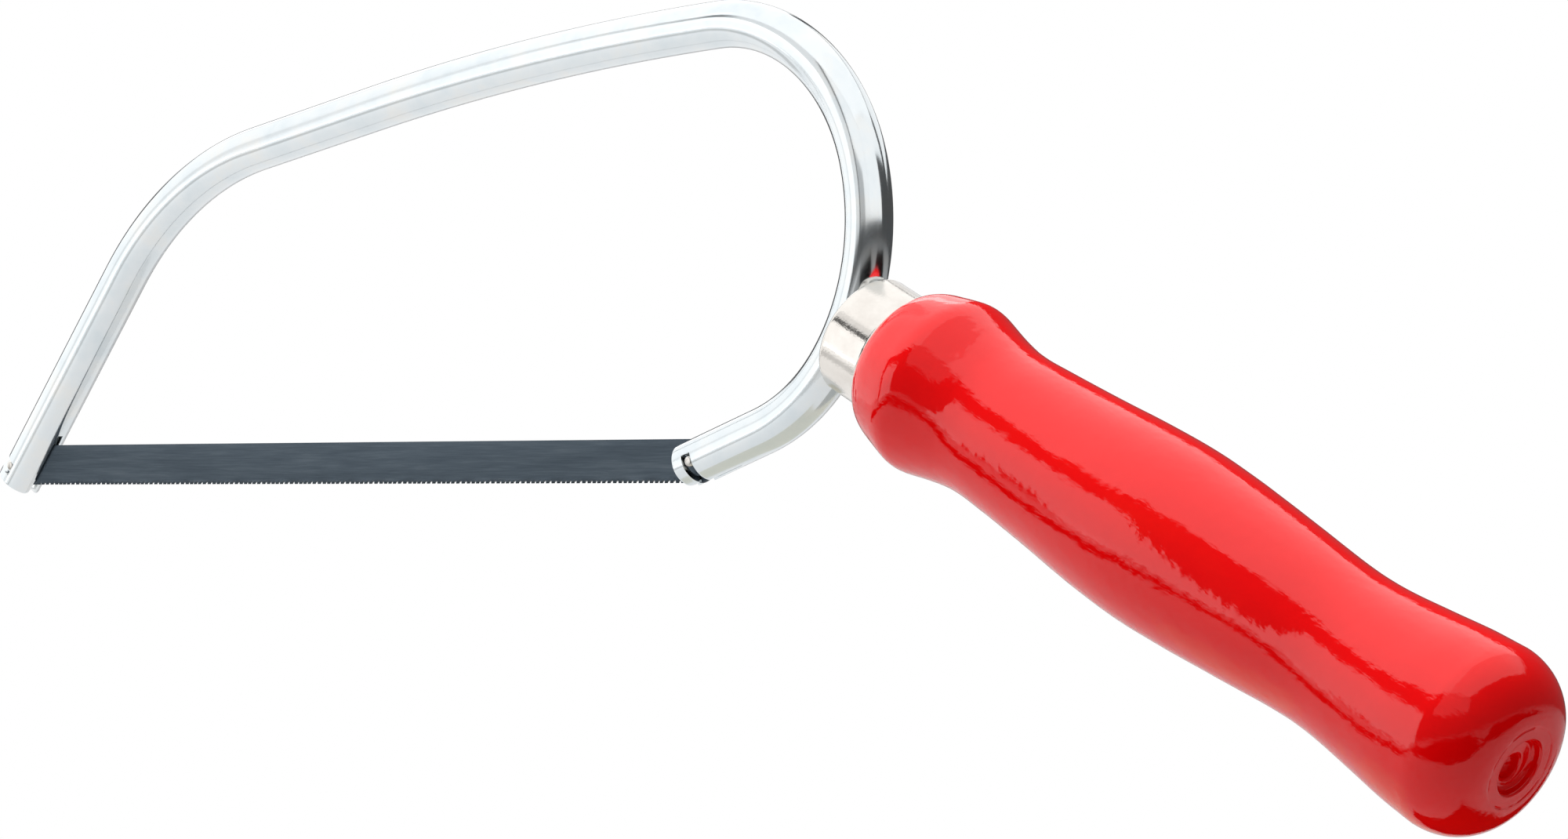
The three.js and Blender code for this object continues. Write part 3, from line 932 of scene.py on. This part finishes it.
def make_handle_screw(material):
    """A wood screw with a cross-slotted head, down in the tube."""
    front, under = SCREW_HEAD
    head = [(front + 0.55, 0.01), (front + 0.5, 0.25), (front + 0.02, 0.45)]
    rim = SCREW_HEAD_RADIUS
    head += [(front, 0.6), (front + 0.03, rim * 0.75), (front + 0.25, rim * 0.97)]
    head += [(front + 0.45, rim), (under, rim), (under, SCREW_SHANK_RADIUS)]
    shank_end = SCREW_END - SCREW_POINT
    shank = [(a, SCREW_SHANK_RADIUS) for a in np.arange(under + 0.15, shank_end, 0.15)]
    point_steps = np.linspace(shank_end, SCREW_END - 0.1, 14)
    point = [(a, SCREW_SHANK_RADIUS * (SCREW_END - a) / SCREW_POINT) for a in point_steps]
    profile = head + shank + point + [(SCREW_END, 0.01)]
    along, radius, angle = lathe_grid(profile, SCREW_COLUMNS)
    phase = (along / SCREW_THREAD - angle / (2 * math.pi)) % 1
    ridge = np.maximum(0, 1 - np.abs(phase - 0.5) * 4)
    threaded = smooth_step(*SCREW_THREAD_START, along)
    threaded = threaded * smooth_step(SCREW_END, SCREW_END - SCREW_POINT, along)
    radius = radius + SCREW_THREAD_DEPTH * (2 * ridge - 1) * threaded
    up, side = radius * np.cos(angle), radius * np.sin(angle)
    near_arm = np.minimum(np.abs(side), np.abs(up)) < SCREW_SLOT_WIDTH
    in_slot = near_arm & (radius < SCREW_SLOT_REACH) & (along < front + 0.3)
    along = np.where(in_slot, front + 0.55, along)
    return add_piece(
        "handle_screw_fine", along_handle(along, up, side),
        lathe_faces(len(profile), SCREW_COLUMNS),
        "frame", "handle_screw", material,
    )


# ---------------------------------------------------------------- studio, in metres about the saw

CAMERA_PLACE = (695.83, -582.129, 4.696)  # in the saw's frame, in mm
CAMERA_AZIMUTH = 42.2257
CAMERA_ELEVATION = -0.0838
CAMERA_ROLL = -0.6577
CAMERA_LENS = 126.39

FLOOR_RADIUS = 2.3
FLOOR_HEIGHT = -0.25
CARD_HEIGHT = FLOOR_HEIGHT + 0.002
GAIN_HEIGHT = FLOOR_HEIGHT + 0.004
FLOOR_GAIN_HEIGHT = FLOOR_HEIGHT + 0.006
LEG_CARD_HEIGHT = -0.13

CEILING = 1.6
LEFT_WALL = -2.25
RIGHT_WALL = 1.66
BACK_WALL = 1.9
FRONT_WALL = -1.63

STRIP_WIDTH = 0.34
STRIP_DISTANCE = 1.06
STRIP_ENDS = (-12, -84)  # azimuths
FRONT_START = Vector((-0.25, -0.64, 0))  # the dark floor before the saw begins on a line from here
FRONT_ALONG = Vector((0.78, 0.625, 0))
FRONT_ACROSS = Vector((0.625, -0.78, 0))
FRONT_GAIN_WIDTH = 0.34

UP = Vector((0, 0, 1))
DOWN = Vector((0, 0, -1))
TO_BACK = Vector((0, 1, 0))
TO_FRONT = Vector((0, -1, 0))
TO_RIGHT = Vector((1, 0, 0))
TO_LEFT = Vector((-1, 0, 0))


def direction(azimuth, elevation):
    """The unit vector towards an azimuth from -Y round to +X and a height, in degrees."""
    a, e = math.radians(azimuth), math.radians(elevation)
    return Vector((math.sin(a) * math.cos(e), -math.cos(a) * math.cos(e), math.sin(e)))


def add_panel(name, centre, size, radiance, facing, reflected=True, lights_matt=True):
    """A rectangular soft light. Its radiance is that of its face, where white is 1."""
    width, height = size
    light = bpy.data.lights.new(name, "AREA")
    light.shape = "RECTANGLE"
    light.size = width
    light.size_y = height
    light.energy = radiance * width * height * math.pi
    lamp = bpy.data.objects.new(name, light)
    lamp.location = centre
    lamp.rotation_mode = "QUATERNION"
    lamp.rotation_quaternion = (-Vector(facing)).to_track_quat("Z", "Y")
    lamp.visible_camera = False
    lamp.visible_glossy = reflected
    lamp.visible_diffuse = lights_matt
    bpy.context.scene.collection.objects.link(lamp)
    return lamp


def add_panel_towards(name, way, distance, size, radiance, **shown):
    """A soft light that stands off from the saw in a direction and faces it."""
    return add_panel(name, way * distance, size, radiance, -way, **shown)


def add_floor_panel(name, start, end, width, radiance, colour=(1, 1, 1)):
    """A strip of light on the floor, for reflections only."""
    along = Vector(end) - Vector(start)
    centre = (Vector(start) + Vector(end)) / 2 + UP * GAIN_HEIGHT
    strip = add_panel(name, centre, (width, along.length), radiance, UP, lights_matt=False)
    strip.rotation_quaternion = along.to_track_quat("Y", "Z") @ Quaternion((0, 1, 0), math.pi)
    strip.data.color = colour
    return strip


def light_only(pieces, lamp):
    """Makes a lamp light those pieces and nothing else."""
    receivers = bpy.data.collections.new(lamp.name + "_pieces")
    for piece in pieces:
        receivers.objects.link(piece)
    lamp.light_linking.receiver_collection = receivers


def make_world():
    """White behind the saw, and a dim room for what the saw reflects between the softboxes."""
    world = bpy.data.worlds.new("studio")
    bpy.context.scene.world = world
    world.use_nodes = True
    nodes, links = world.node_tree.nodes, world.node_tree.links
    nodes.clear()
    backdrop = nodes.new("ShaderNodeBackground")
    backdrop.inputs["Color"].default_value = (1, 1, 1, 1)
    room = nodes.new("ShaderNodeBackground")
    room.inputs["Color"].default_value = (0.09, 0.091, 0.093, 1)
    path = nodes.new("ShaderNodeLightPath")
    mix = nodes.new("ShaderNodeMixShader")
    output = nodes.new("ShaderNodeOutputWorld")
    links.new(path.outputs["Is Camera Ray"], mix.inputs["Fac"])
    links.new(room.outputs[0], mix.inputs[1])
    links.new(backdrop.outputs[0], mix.inputs[2])
    links.new(mix.outputs[0], output.inputs["Surface"])


def make_floor():
    """A round pale floor well below the saw, smaller than what the camera sees past it."""
    work = bmesh.new()
    bmesh.ops.create_circle(work, cap_ends=True, segments=128, radius=FLOOR_RADIUS)
    mesh = bpy.data.meshes.new("studio_floor")
    work.to_mesh(mesh)
    work.free()
    mesh.materials.append(floor_material())
    floor = bpy.data.objects.new("studio_floor", mesh)
    floor.location.z = FLOOR_HEIGHT
    bpy.context.scene.collection.objects.link(floor)


def light_room():
    """The panels that light everything: a ceiling, a left wall and two softboxes."""
    add_panel("overhead", (-0.95, 0.11, CEILING), (2.6, 3.46), 1.35, DOWN)
    add_panel("overhead_right", (1.0, 0.11, CEILING), (1.3, 3.46), 0.9, DOWN, lights_matt=False)
    add_panel("left_wall", (LEFT_WALL, -0.475, 0.675), (2.05, 1.85), 1.3, TO_RIGHT)
    add_panel_towards("behind_left", direction(-130, 30), 2.5, (1.3, 1.05), 1.2)
    add_panel_towards("front_left", direction(-35, 8.5), 1.16, (0.64, 0.72), 1.4)


def light_saw(saw, handle):
    """Fills that nothing reflects, for the blade and the lacquer's colour, and a glow in the lacquer."""
    fill = (1.5, 1.5)
    overhead = add_panel("overhead_fill", (0.1, -0.2, 1.5), fill, 3.9, DOWN, reflected=False)
    light_only(saw, overhead)
    light_only(saw, add_panel_towards("side_fill", direction(-25, -8), 2, fill, 1.35, reflected=False))
    for name, way, radiance in [
        ("end_fill", direction(80, -15), 1.0),
        ("under_fill", direction(10, -50), 0.6),
    ]:
        lamp = add_panel_towards(name, way, 2, fill, radiance, reflected=False)
        lamp.data.use_shadow = False  # the floor is in its way
        light_only(handle, lamp)
    glow = add_panel("front_glow", (1.0, -1.8, 1.25), (2.0, 1.0), 0.4, TO_BACK, lights_matt=False)
    light_only(handle, glow)


def light_metal(tube, ferrule):
    """Pale walls that only the tube and the ferrule reflect, and some for one of the two."""
    metal = tube + ferrule
    for name, centre, size, radiance, facing in [
        ("front_wall_high", (0.845, FRONT_WALL, 1.02), (1.63, 1.14), 1.2, TO_BACK),
        ("front_wall_low", (1.205, FRONT_WALL, 0.24), (0.91, 0.42), 1.15, TO_BACK),
        ("right_wall", (RIGHT_WALL, -0.595, 0.81), (2.05, 1.56), 1.2, TO_LEFT),
        ("right_wall_high", (RIGHT_WALL, 1.1, 1.2), (1.5, 0.8), 1.2, TO_LEFT),
        ("back_wall", (0.1, BACK_WALL, 1.0), (2.0, 1.1), 1.15, TO_FRONT),
        ("overhead_gain", (1.0, 0.11, CEILING - 0.01), (1.3, 3.46), 0.4, DOWN),
        ("left_wall_high", (LEFT_WALL, 0.875, 1.175), (0.65, 0.85), 1.15, TO_RIGHT),
        ("floor_gain", (-0.85, -0.55, FLOOR_GAIN_HEIGHT), (2.5, 2.1), 0.38, UP),
    ]:
        light_only(metal, add_panel(name, centre, size, radiance, facing, lights_matt=False))
    front_gain_start = FRONT_START + FRONT_ACROSS * FRONT_GAIN_WIDTH / 2
    for name, start, end, width, radiance, colour in [
        ("strip_gain", *strip_ends(), STRIP_WIDTH, 0.4, (1, 1, 1)),
        ("under_gain_left", (-0.01, 0.03, 0), (-0.01, 0.62, 0), 0.10, 0.5, (1, 1, 1)),
        ("under_gain_right", (0.1225, 0.03, 0), (0.1225, 0.25, 0), 0.165, 0.15, (0.97, 1, 0.9)),
        ("front_gain", front_gain_start, front_gain_start + FRONT_ALONG * 0.62,
         FRONT_GAIN_WIDTH, 0.47, (1, 1, 1)),
    ]:
        light_only(metal, add_floor_panel(name, start, end, width, radiance, colour))
    for pieces, name, centre, size, radiance in [
        (tube, "tube_gap", (-0.86, FRONT_WALL, 1.1), (1.48, 1.0), 0.95),
        (tube, "tube_gap_low", (-0.32, FRONT_WALL, 0.3), (0.5, 0.6), 0.95),
        (tube, "tube_wall_low", (0.39, FRONT_WALL, 0.24), (0.72, 0.42), 0.55),
        (ferrule, "ferrule_gap", (-0.86, FRONT_WALL, 1.375), (1.48, 0.45), 1.0),
        (ferrule, "ferrule_wall_low", (0.39, FRONT_WALL, 0.24), (0.72, 0.42), 1.2),
    ]:
        light_only(pieces, add_panel(name, centre, size, radiance, TO_BACK, lights_matt=False))
    behind = direction(-150, 22)
    lamp = add_panel_towards("ferrule_behind", behind, 1.2, (0.55, 0.6), 0.85, lights_matt=False)
    light_only(ferrule, lamp)
    facing = (-0.488, 0.873, 0)
    lamp = add_panel("left_gap", (-1.585, -1.128, 0.48), (1.524, 1.44), 1.0, facing, lights_matt=False)
    light_only(metal, lamp)


def make_lights():
    """A tent of soft panels with dark gaps between them, which the metal and the lacquer show."""
    saw = [piece for piece in bpy.data.objects if piece.name.endswith("_fine")]
    light_room()
    light_saw(saw, [bpy.data.objects["handle_fine"]])
    light_metal([bpy.data.objects["bow_tube_fine"]], [bpy.data.objects["ferrule_fine"]])


def strip_ends():
    """Where the dark strip before the front left softbox starts and ends."""
    return [direction(azimuth, 0) * STRIP_DISTANCE for azimuth in STRIP_ENDS]


def add_card(name, centre, along, across, material):
    """A flat card that only the reflections show."""
    centre, along, across = Vector(centre), Vector(along) / 2, Vector(across) / 2
    corners = [
        centre - along - across,
        centre + along - across,
        centre + along + across,
        centre - along + across,
    ]
    mesh = bpy.data.meshes.new(name)
    mesh.from_pydata(corners, [], [(0, 1, 2, 3)])
    mesh.materials.append(material)
    card = bpy.data.objects.new(name, mesh)
    card.visible_camera = False
    card.visible_diffuse = False
    card.visible_shadow = False
    bpy.context.scene.collection.objects.link(card)


def make_cards():
    """Black cards on the floor as painted shade, and an olive one just below the rear leg of the bow that
    glows as painted light; only reflections show them.
    """
    start, end = strip_ends()
    along = end - start
    across = Vector((-along.y, along.x, 0)).normalized() * STRIP_WIDTH
    # painted shade: black cards lie where the floor should look dark in reflections; the two under the
    # saw stand for its shadow
    black = matt_material("black_card", (0.01, 0.01, 0.01, 1))
    lift = UP * CARD_HEIGHT
    add_card("studio_strip", (start + end) / 2 + lift, along, across, black)
    add_card("studio_under_card", (0.0725, 0.155, CARD_HEIGHT), (0.265, 0, 0), (0, 0.25, 0), black)
    add_card("studio_under_card_far", (0.0475, 0.45, CARD_HEIGHT), (0.215, 0, 0), (0, 0.34, 0), black)
    middle = FRONT_START + FRONT_ALONG * 0.5 + FRONT_ACROSS * 0.475
    add_card("studio_front_card", middle + lift, FRONT_ALONG * 1.1, FRONT_ACROSS * 0.95, black)
    add_card("studio_right_card", (0.95, 0.35, CARD_HEIGHT), (0.76, 0, 0), (0, 0.8, 0), black)
    # painted light: the olive card glows though it is no lamp, to light the rear leg's reflection
    olive = matt_material("olive_card", (0.74, 0.73, 0.64, 1), 0.36)
    add_card("studio_leg_card", (0, 0.05, LEG_CARD_HEIGHT), (0.10, 0, 0), (0, 0.19, 0), olive)


def make_camera():
    """A long lens far off, almost level, and turned about 42 degrees towards the handle's end."""
    data = bpy.data.cameras.new("camera")
    data.sensor_width = 36
    data.lens = CAMERA_LENS
    data.clip_start, data.clip_end = 0.01, 20
    camera = bpy.data.objects.new("camera", data)
    back = direction(CAMERA_AZIMUTH, CAMERA_ELEVATION)
    right = UP.cross(back).normalized()
    up = back.cross(right)
    roll = math.radians(CAMERA_ROLL)
    turned_right = math.cos(roll) * right + math.sin(roll) * up
    turned_up = -math.sin(roll) * right + math.cos(roll) * up
    matrix = Matrix((turned_right, turned_up, back)).transposed().to_4x4()
    matrix.translation = Vector(saw_points(CAMERA_PLACE))
    camera.matrix_world = matrix
    bpy.context.scene.collection.objects.link(camera)
    bpy.context.scene.camera = camera


# ---------------------------------------------------------------- the scene

make_camera()
make_world()
make_floor()
make_cards()
scene_view = bpy.context.scene.view_settings
scene_view.view_transform = "Standard"
scene_view.look = "None"

zinc = zinc_material()
pin_steel = pin_material()
make_bow_tube(zinc)
make_blade(blade_material())
make_pin("front_pin_fine", "front_blade_pin", 0, pin_steel)
make_pin("rear_pin_fine", "rear_blade_pin", PIN_SPACING, pin_steel)
make_ferrule(nickel_material())
make_handle(lacquer_material())
make_handle_screw(screw_material())
make_lights()
